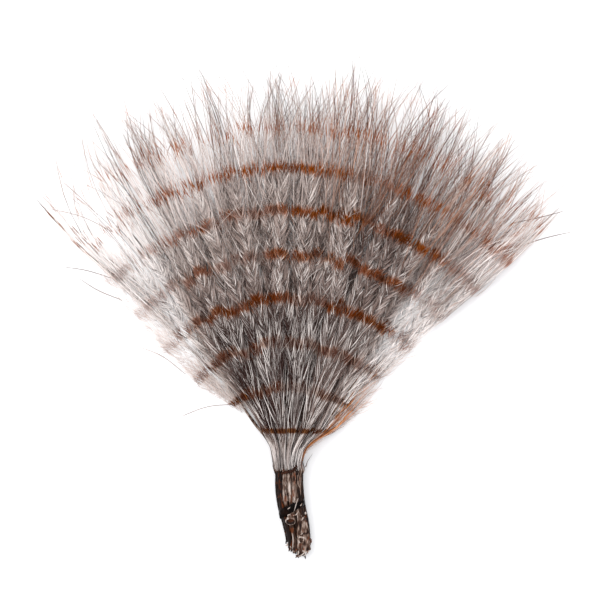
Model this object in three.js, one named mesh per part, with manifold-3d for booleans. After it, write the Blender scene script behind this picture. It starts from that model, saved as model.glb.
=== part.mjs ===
import * as THREE from 'three';
import { mergeVertices } from 'three/addons/utils/BufferGeometryUtils.js';
import Module from 'manifold-3d';

// A fanned bunch of barred marabou feathers, held together by one band round their quills.
// It lies flat: tips towards +Y, cut quills towards -Y, +Z up, millimetres and degrees.
// The origin is on the resting surface, on the flat underside of the band.

const wasm = await Module();
wasm.setup();

// Driving dimensions.
const featherCount = 16;
const quillRows = 3;
const fanLeft = -34.5;
const fanRight = 39.5;
const directionDrift = 2.4;
const fanCentre = new THREE.Vector3(-1.5, 11, 0);
const quillRadius = 0.575;
const quillPitch = 1.45;
const quillSides = 5;
const quillHollow = 0.3;
const hollowDepth = 3;
const gap = 0.3;
const bandWall = 0.4;
const bandLength = 3;
const bandSlant = 24;
const bandCorner = 1.2;
const bandMiddle = new THREE.Vector3(-0.35, 0.45, 0);

// How far the tips reach from the fan's centre, by direction from -X side to +X side.
const reachOutline = new THREE.SplineCurve([
  new THREE.Vector2(-56, 113),
  new THREE.Vector2(-36, 118),
  new THREE.Vector2(-18, 124),
  new THREE.Vector2(2, 126),
  new THREE.Vector2(24, 127),
  new THREE.Vector2(42, 122),
  new THREE.Vector2(56, 115),
]);

// Where the quills are cut, by their place across the stub: the lowest are right of its middle.
const cutOutline = new THREE.SplineCurve([
  new THREE.Vector2(-3.6, -10.2),
  new THREE.Vector2(-2.4, -12.8),
  new THREE.Vector2(-1.2, -13.4),
  new THREE.Vector2(0, -14.1),
  new THREE.Vector2(1.2, -14.6),
  new THREE.Vector2(2.4, -13.4),
  new THREE.Vector2(3.6, -11.4),
]);
const cutSpread = 0.8;

// The middle line of the stub, from its cut end to the neck.
const stubLine = new THREE.CatmullRomCurve3([
  new THREE.Vector3(1.5, -14.6, 0),
  new THREE.Vector3(1.2, -9, 0),
  new THREE.Vector3(0.5, -4.5, 0),
  new THREE.Vector3(-0.6, 0, 0),
  new THREE.Vector3(-1.3, 4.5, 0),
  new THREE.Vector3(fanCentre.x, fanCentre.y, 0),
]);

// Each feather's vane is parted into long pointed locks, two on each side of the middle one.
const lockTurns = [-9, -4.5, 0, 4.5, 9];
const lockStarts = [9, 7, 6, 7, 9];
const lockStations = [0, 0.22, 0.48, 0.78, 1];
const lockRootHalfWidth = 0.45;
const lockHalfWidth = 3.3;
const lockWidestAt = 0.48;
const lockRootHalfHeight = 0.5;
const lockHalfHeight = 0.65;
const lockTurnDrift = 3;
const lockCurl = 3;
const lockShortest = 0.89;

// Slivers left where locks cross are merged away below this size.
const sliverSize = 0.02;

// The shaft's stations past the neck, and how much thinner it is at the last one.
const shaftStations = [2, 5, 9, 14];
const shaftTaper = 0.4;

// The vanes lie one over the other, two levels to each row of quills.
const levelPitch = 1.75;
const levelsPartBy = 14;
const tipDroop = 0.35;

const toRadians = THREE.MathUtils.degToRad;
const { lerp, smoothstep } = THREE.MathUtils;

// A repeatable value from 0 to 1 for each pair of whole numbers.
function variation(index, kind) {
  const wave = Math.sin(index * 12.9898 + kind * 78.233) * 43758.5453;
  return wave - Math.floor(wave);
}

// The height of an outline at one place along it; its points are evenly spaced there.
function heightAt(outline, place) {
  const first = outline.points[0];
  const last = outline.points.at(-1);
  const share = (place - first.x) / (last.x - first.x);
  return outline.getPoint(THREE.MathUtils.clamp(share, 0, 1)).y;
}

function reachAt(angle) {
  return heightAt(reachOutline, angle);
}

// A point of the stub's middle line at a given y.
function stubPoint(y) {
  let low = 0;
  let high = 1;
  for (let step = 0; step < 24; step += 1) {
    const middle = (low + high) / 2;
    if (stubLine.getPoint(middle).y < y) {
      low = middle;
    } else {
      high = middle;
    }
  }
  return stubLine.getPoint(low);
}

// A ring of points round a centre, in the upright plane across the direction of travel.
function ring(centre, heading, halfWidth, halfHeight, sides) {
  const side = new THREE.Vector3(heading.y, -heading.x, 0).normalize();
  const points = [];
  for (let corner = 0; corner < sides; corner += 1) {
    const turn = (corner / sides) * Math.PI * 2;
    const point = centre.clone().addScaledVector(side, halfWidth * Math.cos(turn));
    point.z += halfHeight * Math.sin(turn);
    points.push(point);
  }
  return points;
}

// A closed solid through a row of rings; a ring of one point closes it in a tip.
function loft(rings) {
  const corners = [];
  const triangle = (a, b, c) => corners.push(a.toArray(), b.toArray(), c.toArray());
  for (let index = 0; index + 1 < rings.length; index += 1) {
    const near = rings[index];
    const far = rings[index + 1];
    for (let corner = 0; corner < near.length; corner += 1) {
      const next = (corner + 1) % near.length;
      if (far.length === 1) {
        triangle(near[corner], far[0], near[next]);
      } else {
        triangle(near[corner], far[corner], near[next]);
        triangle(near[next], far[corner], far[next]);
      }
    }
  }
  const start = rings[0];
  const end = rings[rings.length - 1];
  for (let corner = 1; corner + 1 < start.length; corner += 1) {
    triangle(start[0], start[corner], start[corner + 1]);
  }
  for (let corner = 1; corner + 1 < end.length; corner += 1) {
    triangle(end[0], end[corner + 1], end[corner]);
  }
  const geometry = new THREE.BufferGeometry();
  geometry.setAttribute('position', new THREE.Float32BufferAttribute(corners.flat(), 3));
  return geometry;
}

function toSolid(geometry) {
  const merged = mergeVertices(geometry, 1e-4);
  return new wasm.Manifold(new wasm.Mesh({
    numProp: 3,
    vertProperties: new Float32Array(merged.attributes.position.array),
    triVerts: new Uint32Array(merged.index.array),
  }));
}

function toGeometry(solid) {
  const mesh = solid.getMesh();
  const geometry = new THREE.BufferGeometry();
  geometry.setAttribute('position', new THREE.BufferAttribute(mesh.vertProperties, 3));
  geometry.setIndex(new THREE.BufferAttribute(mesh.triVerts, 1));
  geometry.computeVertexNormals();
  return geometry;
}

// Where a feather lies: its direction in the fan, its quill's place in the stub, its level.
function feather(index) {
  const row = index % quillRows;
  const slot = Math.floor(index / quillRows);
  const rowLength = Math.ceil((featherCount - row) / quillRows);
  const upper = Math.floor((index % (quillRows * 2)) / quillRows);
  const drift = (variation(index, 1) - 0.5) * directionDrift;
  return {
    index,
    row,
    slot,
    angle: lerp(fanLeft, fanRight, index / (featherCount - 1)) + drift,
    across: (slot - (rowLength - 1) / 2) * quillPitch,
    quillHeight: bandWall + gap + quillRadius + row * quillPitch,
    vaneHeight: lockHalfHeight + (row * 2 + upper) * levelPitch,
  };
}

// A point in the fan, at a distance from its centre, for a feather or for one of its locks.
function fanPoint(plume, distance, turn = 0) {
  const angle = toRadians(plume.angle + turn);
  const settle = smoothstep(distance, 0, levelsPartBy);
  const droop = 1 - tipDroop * (distance / reachAt(plume.angle)) ** 2;
  return new THREE.Vector3(
    fanCentre.x + distance * Math.sin(angle) + plume.across * (1 - settle),
    fanCentre.y + distance * Math.cos(angle),
    lerp(plume.quillHeight, plume.vaneHeight * Math.max(droop, 0), settle),
  );
}

function cutEnd(plume) {
  return heightAt(cutOutline, plume.across) + variation(plume.index, 2) * cutSpread;
}

// Three quills of the top row differ: one is cut short below the band, one beside it shorter
// still, and the one between is crushed flat and splayed below the band.
const topRow = quillRows - 1;
const shortQuill = { slot: 2, end: -3.5 };
const hiddenQuill = { slot: 4, end: -2.4 };
const crushedQuill = { slot: 3, halfWidth: 2.2, halfHeight: 0.42, shift: 0.95, from: 3, by: 7.5 };

function isTopQuill(plume, special) {
  return plume.row === topRow && plume.slot === special.slot;
}

function quillStations(plume) {
  let end = cutEnd(plume);
  if (isTopQuill(plume, shortQuill)) {
    end = shortQuill.end;
  }
  if (isTopQuill(plume, hiddenQuill)) {
    end = hiddenQuill.end;
  }
  return [end, -8, -4.5, -2.5, 3, 9].filter((y) => y === end || y > end + 1);
}

function quillRing(plume, y) {
  const centre = stubPoint(y);
  centre.x += plume.across;
  centre.z = plume.quillHeight;
  const heading = new THREE.Vector3(0, 1, 0);
  if (!isTopQuill(plume, crushedQuill)) {
    return ring(centre, heading, quillRadius, quillRadius, quillSides);
  }
  const spread = smoothstep(-y, crushedQuill.from, crushedQuill.by);
  centre.x += crushedQuill.shift * spread;
  const halfWidth = lerp(quillRadius, crushedQuill.halfWidth, spread);
  const halfHeight = lerp(quillRadius, crushedQuill.halfHeight, spread);
  return ring(centre, heading, halfWidth, halfHeight, quillSides);
}

function quillAndShaft(plume) {
  const rings = quillStations(plume).map((y) => quillRing(plume, y));
  for (const distance of shaftStations) {
    const centre = fanPoint(plume, distance);
    const heading = fanPoint(plume, distance + 1).sub(fanPoint(plume, distance - 1));
    const radius = quillRadius * (1 - shaftTaper * (distance / shaftStations.at(-1)));
    rings.push(ring(centre, heading, radius, radius, quillSides));
  }
  return toSolid(loft(rings));
}

// The hollow that shows at a quill's cut end.
function quillBore(plume) {
  const end = quillStations(plume)[0];
  const stations = [end - 1, end + hollowDepth];
  const rings = stations.map((y) => {
    const centre = stubPoint(Math.max(y, end));
    centre.set(centre.x + plume.across, y, plume.quillHeight);
    return ring(centre, new THREE.Vector3(0, 1, 0), quillHollow, quillHollow, quillSides);
  });
  return toSolid(loft(rings));
}

function lockWidth(share) {
  if (share < lockWidestAt) {
    return lerp(lockRootHalfWidth, lockHalfWidth, share / lockWidestAt);
  }
  const past = (share - lockWidestAt) / (1 - lockWidestAt);
  return lockHalfWidth * (1 - past ** 1.7);
}

function lockHeight(share) {
  const thickening = smoothstep(share, 0, 0.3);
  return lerp(lockRootHalfHeight, lockHalfHeight, thickening) * (1 - 0.7 * share ** 2);
}

// One pointed lock: it leaves the shaft near the neck and turns aside towards its tip.
function lock(plume, order) {
  const key = plume.index * lockTurns.length + order;
  const turn = lockTurns[order] + (variation(key, 3) - 0.5) * lockTurnDrift;
  const curl = (variation(key, 4) - 0.5) * lockCurl;
  const start = lockStarts[order];
  const reach = reachAt(plume.angle + turn) * lerp(lockShortest, 1, variation(key, 5));
  const place = (share) => {
    const eased = 1 - (1 - share) ** 2;
    return fanPoint(plume, lerp(start, reach, share), turn * eased + curl * share ** 2);
  };
  const rings = lockStations.map((share) => {
    if (share === 1) {
      return [place(share)];
    }
    const heading = place(share + 0.02).sub(place(share));
    return ring(place(share), heading, lockWidth(share), lockHeight(share), 4);
  });
  return toSolid(loft(rings));
}

// Where locks meet they can close round a pocket of air; the outer skin alone fills it.
function outerSkin(solid) {
  const skins = solid.decompose();
  return skins.reduce((largest, skin) => (skin.volume() > largest.volume() ? skin : largest));
}

function featherSolid(plume) {
  let solid = quillAndShaft(plume);
  for (let order = 0; order < lockTurns.length; order += 1) {
    solid = solid.add(lock(plume, order));
  }
  solid = outerSkin(solid.simplify(sliverSize));
  return isTopQuill(plume, crushedQuill) ? solid : solid.subtract(quillBore(plume));
}

// The band: a slanted ring round all the quills, flat underneath.
function roundedOutline(halfWidth, low, high, corner) {
  const outline = new THREE.Shape();
  outline.moveTo(-halfWidth + corner, low);
  outline.lineTo(halfWidth - corner, low);
  outline.quadraticCurveTo(halfWidth, low, halfWidth, low + corner);
  outline.lineTo(halfWidth, high - corner);
  outline.quadraticCurveTo(halfWidth, high, halfWidth - corner, high);
  outline.lineTo(-halfWidth + corner, high);
  outline.quadraticCurveTo(-halfWidth, high, -halfWidth, high - corner);
  outline.lineTo(-halfWidth, low + corner);
  outline.quadraticCurveTo(-halfWidth, low, -halfWidth + corner, low);
  return outline;
}

function bandGeometry() {
  const widestRow = Math.ceil(featherCount / quillRows);
  const halfInside = ((widestRow - 1) / 2) * quillPitch + quillRadius + gap;
  const insideHeight = (quillRows - 1) * quillPitch + 2 * (quillRadius + gap);
  const outline = roundedOutline(halfInside + bandWall, 0, insideHeight + 2 * bandWall, bandCorner);
  outline.holes.push(roundedOutline(halfInside, bandWall, insideHeight + bandWall, bandCorner / 2));
  const geometry = new THREE.ExtrudeGeometry(outline, {
    depth: bandLength,
    bevelEnabled: false,
    curveSegments: 3,
  });
  geometry.rotateX(Math.PI / 2);
  geometry.translate(0, bandLength / 2, 0);
  const slope = Math.tan(toRadians(bandSlant));
  geometry.applyMatrix4(new THREE.Matrix4().makeShear(slope, 0, 0, 0, 0, 0));
  geometry.translate(bandMiddle.x, bandMiddle.y, bandMiddle.z);
  return geometry;
}

function featherMaterial(plume) {
  const colour = new THREE.Color(0x9c8d84);
  colour.multiplyScalar(0.85 + 0.15 * variation(plume.index, 6));
  return new THREE.MeshStandardMaterial({ color: colour, roughness: 0.9, metalness: 0 });
}

const bunch = new THREE.Group();

for (let index = 0; index < featherCount; index += 1) {
  const plume = feather(index);
  const mesh = new THREE.Mesh(toGeometry(featherSolid(plume)), featherMaterial(plume));
  mesh.name = `feather_${String(index + 1).padStart(2, '0')}`;
  bunch.add(mesh);
}

const bandMaterial = new THREE.MeshStandardMaterial({
  color: 0x1f1411,
  roughness: 0.25,
  metalness: 0,
});
const band = new THREE.Mesh(bandGeometry(), bandMaterial);
band.name = 'binding_band';
bunch.add(band);

export default bunch;
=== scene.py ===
import math

import bpy
import numpy as np
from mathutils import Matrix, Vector


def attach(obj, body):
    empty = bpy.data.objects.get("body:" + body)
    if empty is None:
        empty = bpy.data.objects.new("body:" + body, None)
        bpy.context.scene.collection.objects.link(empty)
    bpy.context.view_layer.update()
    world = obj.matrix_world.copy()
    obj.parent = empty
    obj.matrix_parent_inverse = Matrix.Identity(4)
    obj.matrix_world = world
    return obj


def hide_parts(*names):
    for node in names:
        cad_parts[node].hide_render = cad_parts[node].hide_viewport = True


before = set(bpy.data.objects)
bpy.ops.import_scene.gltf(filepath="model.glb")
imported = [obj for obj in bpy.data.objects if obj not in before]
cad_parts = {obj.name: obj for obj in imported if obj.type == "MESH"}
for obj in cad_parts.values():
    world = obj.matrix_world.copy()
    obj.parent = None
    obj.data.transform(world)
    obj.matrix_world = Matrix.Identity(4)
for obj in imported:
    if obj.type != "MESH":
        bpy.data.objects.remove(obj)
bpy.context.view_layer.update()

# Lengths are millimetres and angles degrees until a mesh is made.
MM = 0.001

# The fan as the solids have it.
FEATHERS = 16
ROWS = 3
FAN_LEFT, FAN_RIGHT = -34.5, 39.5
DIRECTION_DRIFT = 2.4
CENTRE = np.array([-1.5, 11.0])
QUILL_PITCH = 1.45
LOWEST_QUILL = 1.275
LOWEST_VANE = 0.65
LEVEL_PITCH = 1.75
LEVELS_PART_BY = 14.0
TIP_DROOP = 0.35
LOCK_TURNS = (-9.0, -4.5, 0.0, 4.5, 9.0)
LOCK_STARTS = (9.0, 7.0, 6.0, 7.0, 9.0)
LOCK_TURN_DRIFT = 3.0
LOCK_CURL = 3.0
LOCK_SHORTEST = 0.89
REACH_ANGLES = np.linspace(-56, 56, 7)
REACHES = np.array([113.0, 118.0, 124.0, 126.0, 127.0, 122.0, 115.0])
STUB_Y = np.array([-14.6, -9.0, -4.5, 0.0, 4.5, 11.0])
STUB_X = np.array([1.5, 1.2, 0.5, -0.6, -1.3, -1.5])
CUT_PLACES = np.linspace(-3.6, 3.6, 7)
CUT_ENDS = np.array([-10.2, -12.8, -13.4, -14.1, -14.6, -13.4, -11.4])
CUT_SPREAD = 0.8
TOP_ROW = 2
SHORT_QUILL, HIDDEN_QUILL, CRUSHED_QUILL = 2, 4, 3
SHORT_QUILL_END, HIDDEN_QUILL_END = -3.5, -2.4
BAND_MIDDLE_Y = 0.45
BAND_SLOPE = math.tan(math.radians(24))
BAND_HALF_WIDTH, BAND_HALF_HEIGHT, BAND_MIDDLE_HEIGHT = 3.85, 2.35, 2.6
BAND_SQUARENESS = 0.45

# The quills as they look: a little thicker than the solids, so that they close the stub.
QUILL_RADIUS = 0.69
QUILL_SIDES = 18
QUILL_TOP_Y = 10.5
STUB_NARROWING = 0.15
SHAFT_STARTS, SHAFT_ENDS, SHAFT_VANISHES = 1.5, 44.0, 46.0
MOUTH_X, MOUTH_HEIGHT, MOUTH_HALF_WIDTH, MOUTH_HALF_HEIGHT = -1.1, 5.35, 1.45, 0.55
MOUTH_LEAN = 2.0
FLAP_LEFT, FLAP_HALF_HEIGHT, FLAP_SIDES, FLAP_SLANT = 0.9, 0.5, 56, 0.55
WHORL_X, WHORL_Y, WHORL_HEIGHT, WHORL_RADIUS = 2.2, -9.1, 4.78, 0.95
SPLINTERS_PER_QUILL, SPLINTERS_OF_CRUSHED_QUILL = 14, 30
FLAKES_PER_QUILL = 26
BEADS = 9
# How far inside a cut end each ring of the hollow lies, and its share of the quill's width.
HOLLOW = np.array([[2.6, 0.1], [2.4, 0.5], [1.2, 0.62], [0.3, 0.7], [0.02, 0.8], [0.0, 0.92]])

# How pale each feather's quill is, by its index: 0 is middling, and less is darker.
QUILL_TONES = {0: -2.0, 1: -1.3, 2: -2.0, 5: 0.25, 8: -0.15, 11: 0.2, 14: -0.7, 15: -0.9}
OTHER_QUILL_TONE = -0.5
SHAFT_TONE = 0.1

# The photograph: its scale, and the pixel that the origin shows at.
PHOTO_SIZE = 600
MM_PER_PIXEL = 0.304
ORIGIN_PIXEL = (294, 510)

# Small things that are placed by the pixels of the photograph where they show, and their heights.
BEADED_LINE_HEIGHT = 5.35
BAND_SPLINTER_AND_GLINT_HEIGHT, FLAP_SPLINTER_AND_GLINT_HEIGHT = 5.75, 5.1
HAIR_HEIGHT = 1.2
BEADED_LINE = ((282.5, 473.2), (287, 471.8), (291, 471.4), (295.5, 469.2), (300, 466.2))
# Over the band the first line is a pale splinter; the other four are painted highlights, pale chips in
# place of glints on the glossy band.
BAND_SPLINTERS_AND_GLINTS = (
    ((298, 498), (296, 504.5), (293.6, 512.6)),
    ((293, 515.4), (296.4, 514), (298.8, 510.4)),
    ((287.6, 508.8), (289.2, 507.8), (290.4, 506.6)),
    ((287.4, 515.2), (289.2, 514.4), (291, 514.8)),
    ((300.2, 505.6), (301.4, 504.4), (302, 502.6)),
)
# On the crushed quill the first three are painted highlights, pale chips in place of glints on its
# surface and its cut rim.
FLAP_SPLINTERS_AND_GLINTS = (
    ((300.4, 534.6), (301.8, 533.8), (302.8, 533)),
    ((298.8, 556.4), (303, 554), (307.6, 550.4)),
    ((304, 556), (306.6, 553.6), (309.8, 549.6)),
    ((292.6, 533), (293, 541), (292.2, 550)),
)
LEFT_HAIRS = (
    ((185, 375), (160, 356), (128, 344)),
    ((232, 405), (205, 408), (174, 420)),
    ((112, 232), (80, 216), (38, 206)),
    ((110, 278), (84, 270), (56, 266)),
    ((96, 214), (78, 196), (60, 180)),
    ((120, 300), (96, 290), (74, 276)),
)
RIGHT_HAIRS = (
    ((302, 470), (313, 466), (325, 454)),
    ((498, 255), (542, 239), (580, 230)),
    ((512, 223), (541, 217), (571, 209)),
    ((508, 186), (526, 174), (545, 168)),
    ((478, 296), (492, 284), (503, 267)),
)

# The markings: rust bars at an even distance along every plume, on most of its strands.
BAR_PITCH = 13.35
BAR_HALF_WIDTH = 1.34
BARRED_SHARE = 0.97
FARTHEST_REACH = 130.0

# The fan's two sides: how wide an angle they leave at each distance from its centre.
SIDE_DISTANCES = (15, 22, 30, 38, 72, 95, 130)
LEFT_SIDE = (32, 32, 34, 38, 42, 43.5, 43.5)
RIGHT_SIDE = (44, 43, 43, 44, 46, 47, 47)
FLUFF_LEFT = (40, 40, 44, 47, 46, 43.5, 43.5)
FLUFF_RIGHT = (50, 50, 48, 46, 46, 47, 47)
SIDE_SOFTNESS = 6.0

# The neck, above the fan's centre: where it is drawn in, by what share, and its shift along X.
NECK_STARTS, NECK_FULL, NECK_OPENS, NECK_ENDS = 0.0, 3.5, 6.5, 14.0
NECK_TIGHTNESS = 0.27
NECK_SHIFT = -0.6

# How the down changes with the distance from the fan's centre: the angle at which barbs fork off
# their lock, least at the neck and at the rim, their length, and how pale they are.
SPREAD_DISTANCES = (6, 22, 40, 54, 80, 92, 118)
SPREADS = (8, 13, 20, 32, 36, 26, 10)
LENGTH_DISTANCES = (6, 24, 40, 54, 84, 95, 120)
LENGTHS = (8, 8, 6.4, 4.2, 3.9, 6, 8)
PALE_DISTANCES = (0, 7, 11, 15, 46, 56, 72, 90, 102, 112, 124)
PALENESSES = (0.85, 0.75, 0.4, 0.0, 0.0, 0.32, 0.54, 0.68, 0.7, 0.42, 0.2)

# How the down is made up.
BARBULES_PER_MM = 16.0
WISPS_PER_LOCK = 6
BARBS_PER_WISP = 3
BARBS_PER_OUTERMOST_WISP = 5
RIDGE_BARBS_PER_LOCK = 5
NECK_BARBS_PER_FEATHER = 130
FLUFF_STRANDS_PER_SIDE = 900
GINGER_BARBS = 110
ODD_LOCK_SINK = 0.8
STAINED_FEATHER = 10
LOWEST_STRAND = 0.1
# How late a ribbon narrows to its point.
TAPER, WISP_TAPER, SPLINTER_TAPER = 2.2, 6, 4

# The light of a white studio.
SKY_STRENGTH = 1.18
LAMP_WATTS, LAMP_SIZE = 4.4, 0.9
LAMP_PLACE, LAMP_TARGET = (-0.35, 0.45, 0.75), (0.0, 0.06, 0.0)


def variation(index, kind):
    """A repeatable value from 0 to 1 for each pair of whole numbers."""
    wave = math.sin(index * 12.9898 + kind * 78.233) * 43758.5453
    return wave - math.floor(wave)


def smoothstep(x, low=0.0, high=1.0):
    """A smooth rise from 0 at low to 1 at high."""
    share = np.clip((np.asarray(x, float) - low) / (high - low), 0, 1)
    return share * share * (3 - 2 * share)


def smooth_curve(x, places, values):
    """The height at x of a smooth curve through given points."""
    slopes = np.gradient(values, places)
    x = np.clip(x, places[0], places[-1])
    first = np.clip(np.searchsorted(places, x, side="right") - 1, 0, len(places) - 2)
    span = places[first + 1] - places[first]
    t = (x - places[first]) / span
    value = (2 * t**3 - 3 * t**2 + 1) * values[first] + (3 * t**2 - 2 * t**3) * values[first + 1]
    slope = (t**3 - 2 * t**2 + t) * slopes[first] + (t**3 - t**2) * slopes[first + 1]
    return value + slope * span


def reach_at(angle):
    """How far the tips reach in one direction."""
    return smooth_curve(angle, REACH_ANGLES, REACHES)


def stub_x(y):
    """The middle line of the stub."""
    return smooth_curve(y, STUB_Y, STUB_X)


def from_photo(pixel):
    """The place on the fan, in millimetres, that shows at a pixel of the photograph."""
    return np.array([pixel[0] - ORIGIN_PIXEL[0], ORIGIN_PIXEL[1] - pixel[1]]) * MM_PER_PIXEL


def polar(points):
    """Distances from the fan's centre, and angles from +Y towards +X."""
    x, y = points[..., 0] - CENTRE[0], points[..., 1] - CENTRE[1]
    return np.hypot(x, y), np.degrees(np.arctan2(x, y))


def tuck(points):
    """Brings in what strays past the two sides of the fan."""
    distance, angle = polar(points)
    widest = np.where(angle < 0, np.interp(distance, SIDE_DISTANCES, LEFT_SIDE),
                      np.interp(distance, SIDE_DISTANCES, RIGHT_SIDE))
    free = widest - SIDE_SOFTNESS
    past = np.maximum(np.abs(angle) - free, 0)
    kept = np.minimum(np.abs(angle), free) + SIDE_SOFTNESS * np.tanh(past / SIDE_SOFTNESS)
    turned = np.radians(angle + (np.sign(angle) * kept - angle) * smoothstep(distance, 12, 18))
    x, y = CENTRE[0] + distance * np.sin(turned), CENTRE[1] + distance * np.cos(turned)
    return np.stack([x, y, points[..., 2]], axis=-1)


def draw_in_neck(points):
    """Narrows the neck between the stub and the fan."""
    above = points[:, 1] - CENTRE[1]
    drawn = smoothstep(above, NECK_STARTS, NECK_FULL) * (1 - smoothstep(above, NECK_OPENS, NECK_ENDS))
    x = CENTRE[0] + (points[:, 0] - CENTRE[0]) * (1 - NECK_TIGHTNESS * drawn) + NECK_SHIFT * drawn
    return np.column_stack([x, points[:, 1:]])


class Feather:
    """Where one feather lies: its direction, its quill's place in the stub, its level."""

    def __init__(self, index):
        self.index = index
        self.name = f"feather_{index + 1:02d}"
        self.row = index % ROWS
        self.slot = index // ROWS
        row_length = math.ceil((FEATHERS - self.row) / ROWS)
        upper = (index % (ROWS * 2)) // ROWS
        drift = (variation(index, 1) - 0.5) * DIRECTION_DRIFT
        self.angle = FAN_LEFT + (FAN_RIGHT - FAN_LEFT) * index / (FEATHERS - 1) + drift
        self.across = (self.slot - (row_length - 1) / 2) * QUILL_PITCH
        self.quill_height = LOWEST_QUILL + self.row * QUILL_PITCH
        self.vane_height = LOWEST_VANE + (self.row * 2 + upper) * LEVEL_PITCH
        self.reach = reach_at(self.angle)

    def point(self, distance, turn=0.0):
        """Points in the fan, at distances from its centre, turned aside from the shaft."""
        distance = np.asarray(distance, float)
        angle = np.radians(self.angle + turn)
        settle = smoothstep(distance, 0, LEVELS_PART_BY)
        droop = np.maximum(1 - TIP_DROOP * (distance / self.reach) ** 2, 0)
        return np.stack([
            CENTRE[0] + distance * np.sin(angle) + self.across * (1 - settle),
            CENTRE[1] + distance * np.cos(angle),
            self.quill_height * (1 - settle) + self.vane_height * droop * settle,
        ], axis=-1)

    def is_top(self, slot):
        return self.row == TOP_ROW and self.slot == slot

    def cut_end(self):
        if self.is_top(SHORT_QUILL):
            return SHORT_QUILL_END
        if self.is_top(HIDDEN_QUILL):
            return HIDDEN_QUILL_END
        return smooth_curve(self.across, CUT_PLACES, CUT_ENDS) + variation(self.index, 2) * CUT_SPREAD


class Lock:
    """One pointed lock of a feather: the line that its barbs follow."""

    def __init__(self, feather, order):
        key = feather.index * len(LOCK_TURNS) + order
        self.feather = feather
        self.key = key
        self.turn = LOCK_TURNS[order] + (variation(key, 3) - 0.5) * LOCK_TURN_DRIFT
        self.curl = (variation(key, 4) - 0.5) * LOCK_CURL
        self.start = LOCK_STARTS[order]
        self.longest = reach_at(feather.angle + self.turn)
        self.reach = self.longest * (LOCK_SHORTEST + (1 - LOCK_SHORTEST) * variation(key, 5))
        self.sink = ODD_LOCK_SINK * (order % 2)

    def point(self, distance, aside=0.0):
        distance = np.asarray(distance, float)
        share = np.clip((distance - self.start) / (self.reach - self.start), 0, 1)
        turn = self.turn * (1 - (1 - share) ** 2) + self.curl * share**2
        points = self.feather.point(distance, turn + aside)
        points[..., 2] -= self.sink * smoothstep(distance, 10, 25)
        return points

    def azimuth(self, distance):
        """The lock's direction at a distance, in radians from +Y towards +X."""
        along = self.point(distance + 0.5) - self.point(distance - 0.5)
        return np.arctan2(along[..., 0], along[..., 1])


class Shape:
    """Triangles gathered from many calls and made into one mesh with named point values."""

    def __init__(self):
        self.places, self.triangles, self.values, self.count = [], [], {}, 0

    def add(self, places, triangles, values):
        self.places.append(draw_in_neck(places))
        self.triangles.append(triangles + self.count)
        self.count += len(places)
        for name, value in values.items():
            self.values.setdefault(name, []).append(np.broadcast_to(value, len(places)))

    def make(self, name, material, node):
        """The mesh object, in place of a node of the solids."""
        places, triangles = np.concatenate(self.places), np.concatenate(self.triangles)
        mesh = bpy.data.meshes.new(name)
        mesh.vertices.add(len(places))
        mesh.vertices.foreach_set("co", (places * MM).astype(np.float32).ravel())
        mesh.loops.add(len(triangles) * 3)
        mesh.loops.foreach_set("vertex_index", triangles.astype(np.int32).ravel())
        mesh.polygons.add(len(triangles))
        mesh.polygons.foreach_set("loop_start", np.arange(len(triangles), dtype=np.int32) * 3)
        mesh.polygons.foreach_set("use_smooth", np.ones(len(triangles), dtype=bool))
        for key, value in self.values.items():
            attribute = mesh.attributes.new(key, "FLOAT", "POINT")
            attribute.data.foreach_set("value", np.concatenate(value).astype(np.float32))
        mesh.update(calc_edges=True)
        mesh.materials.append(material)
        piece = bpy.data.objects.new(name, mesh)
        bpy.context.scene.collection.objects.link(piece)
        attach(piece, "root")
        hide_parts(node)


def ribbons(shape, lines, widths, tilts, values, taper=TAPER):
    """Thin pointed ribbons along lines; a value is one for each line or for each of its points."""
    count, steps = lines.shape[:2]
    tangents = np.gradient(lines, axis=1)
    flat = np.stack([tangents[..., 1], -tangents[..., 0], np.zeros((count, steps))], axis=-1)
    flat /= np.linalg.norm(flat, axis=-1, keepdims=True) + 1e-9
    tangents /= np.linalg.norm(tangents, axis=-1, keepdims=True) + 1e-9
    upright = np.cross(flat, tangents)
    tilt = tilts[:, None, None]
    side = flat * np.cos(tilt) + upright * np.sin(tilt)
    t = np.linspace(0, 1, steps)
    profile = np.minimum(1, 0.55 + 2 * t) * (1 - t**taper)
    half = side * (widths[:, None] * profile / 2)[..., None]
    body = np.stack([(lines - half)[:, :-1], (lines + half)[:, :-1]], axis=2).reshape(count, -1, 3)
    vertices = np.concatenate([body, lines[:, -1:]], axis=1)
    vertices[..., 2] = np.maximum(vertices[..., 2], LOWEST_STRAND)
    per = 2 * steps - 1
    quad = np.arange(steps - 2)[:, None] * 2
    pattern = np.concatenate([quad + [0, 1, 2], quad + [1, 3, 2], [[per - 3, per - 2, per - 1]]])
    triangles = (np.arange(count)[:, None, None] * per + pattern[None]).reshape(-1, 3)

    def spread(value):
        value = np.asarray(value, float)
        if value.ndim == 1:
            value = value[:, None]
        value = np.broadcast_to(value, (count, steps))
        doubled = np.repeat(value[:, :-1], 2, axis=1)
        return np.concatenate([doubled, value[:, -1:]], axis=1).reshape(-1)

    all_values = {name: spread(value) for name, value in values.items()}
    all_values["along"] = spread(np.broadcast_to(t, (count, steps)))
    shape.add(vertices.reshape(-1, 3), triangles, all_values)


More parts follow.
